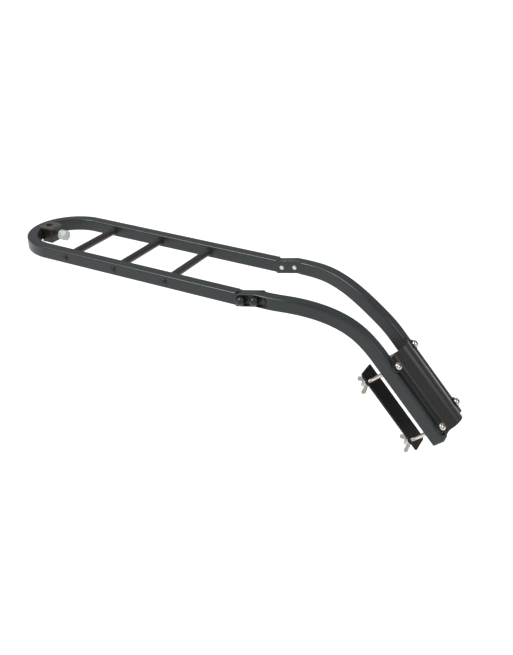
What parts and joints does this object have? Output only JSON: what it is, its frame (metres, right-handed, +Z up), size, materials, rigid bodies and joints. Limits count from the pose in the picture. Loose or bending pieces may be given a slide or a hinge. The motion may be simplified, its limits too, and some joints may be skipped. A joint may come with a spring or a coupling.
{
  "type": "folding luggage rack",
  "caption": "Bicycle luggage rack: a long looped deck with rungs and a hitch block, hinged to two bent legs that clamp on a seat tube.",
  "frame": {"origin": "middle of the seat-tube saddle, on the axis of the seat tube that it grips", "axes": "+X from the deck's loop end towards the clamp, along the level deck; +Y across the rack; +Z up. The seat tube's axis falls 47.8 degrees below +X."},
  "size_m": [0.7734, 0.1668, 0.2199],
  "materials": {
    "frame_paint": "satin powder coat",
    "black_paint": "satin powder coat",
    "black_screw": "black oxide, slightly glossy",
    "zinc": "bright zinc plate",
    "plug_plastic": "moulded",
    "rubber": "matt",
    "knob_plastic": "milky, translucent"
  },
  "bodies": {
    "legs": {"leg_left": "frame_paint", "leg_right": "frame_paint", "leg_plug_left": "plug_plastic", "leg_plug_right": "plug_plastic", "knuckle_plate_left": "frame_paint", "knuckle_plate_right": "frame_paint", "pivot_bolts": "zinc", "lock_bolts": "zinc", "knuckle_washers": "black_screw", "dome_nuts": "black_screw", "saddle": "black_paint", "saddle_liner": "rubber", "clamp_bolts": "zinc", "clamp_washers": "black_screw"},
    "deck": {"deck_loop": "frame_paint", "rung_front": "frame_paint", "rung_middle": "frame_paint", "rung_rear": "frame_paint", "rung_screws": "black_screw", "hitch_block": "black_paint", "hitch_screws": "black_screw"},
    "lock_plunger": {"lock_pin": "zinc", "lock_knob": "knob_plastic"},
    "jaw_left": {"jaw_left": "black_paint", "jaw_washers_left": "zinc"},
    "jaw_right": {"jaw_right": "black_paint", "jaw_washers_right": "zinc"},
    "wing_nut_left_upper": {"wing_nut_left_upper": "zinc"},
    "wing_nut_left_lower": {"wing_nut_left_lower": "zinc"},
    "wing_nut_right_upper": {"wing_nut_right_upper": "zinc"},
    "wing_nut_right_lower": {"wing_nut_right_lower": "zinc"}
  },
  "joints": [
    {"name": "deck_fold", "type": "hinge", "parent": "legs", "child": "deck", "pos_m": [-0.26137, 0, 0.11226], "axis": [0, -1, 0], "range_deg": [-10, 90]},
    {"name": "plunger_pull", "type": "slide", "parent": "deck", "child": "lock_plunger", "axis": [1, 0, 0], "range_m": [-0.0035, 0.0025]},
    {"name": "jaw_left_slide", "type": "slide", "parent": "legs", "child": "jaw_left", "axis": [0.7408, 0, 0.6717], "range_m": [0, 0.0285]},
    {"name": "jaw_right_slide", "type": "slide", "parent": "legs", "child": "jaw_right", "axis": [0.7408, 0, 0.6717], "range_m": [0, 0.0285]},
    {"name": "wing_nut_left_upper_turn", "type": "hinge", "parent": "jaw_left", "child": "wing_nut_left_upper", "pos_m": [-0.07603, 0.0363, 0.00361], "axis": [0.7408, 0, 0.6717], "continuous": true},
    {"name": "wing_nut_left_lower_turn", "type": "hinge", "parent": "jaw_left", "child": "wing_nut_left_lower", "pos_m": [-0.00382, 0.0363, -0.07602], "axis": [0.7408, 0, 0.6717], "continuous": true},
    {"name": "wing_nut_right_upper_turn", "type": "hinge", "parent": "jaw_right", "child": "wing_nut_right_upper", "pos_m": [-0.07603, -0.0363, 0.00361], "axis": [0.7408, 0, 0.6717], "continuous": true},
    {"name": "wing_nut_right_lower_turn", "type": "hinge", "parent": "jaw_right", "child": "wing_nut_right_lower", "pos_m": [-0.00382, -0.0363, -0.07602], "axis": [0.7408, 0, 0.6717], "continuous": true}
  ]
}
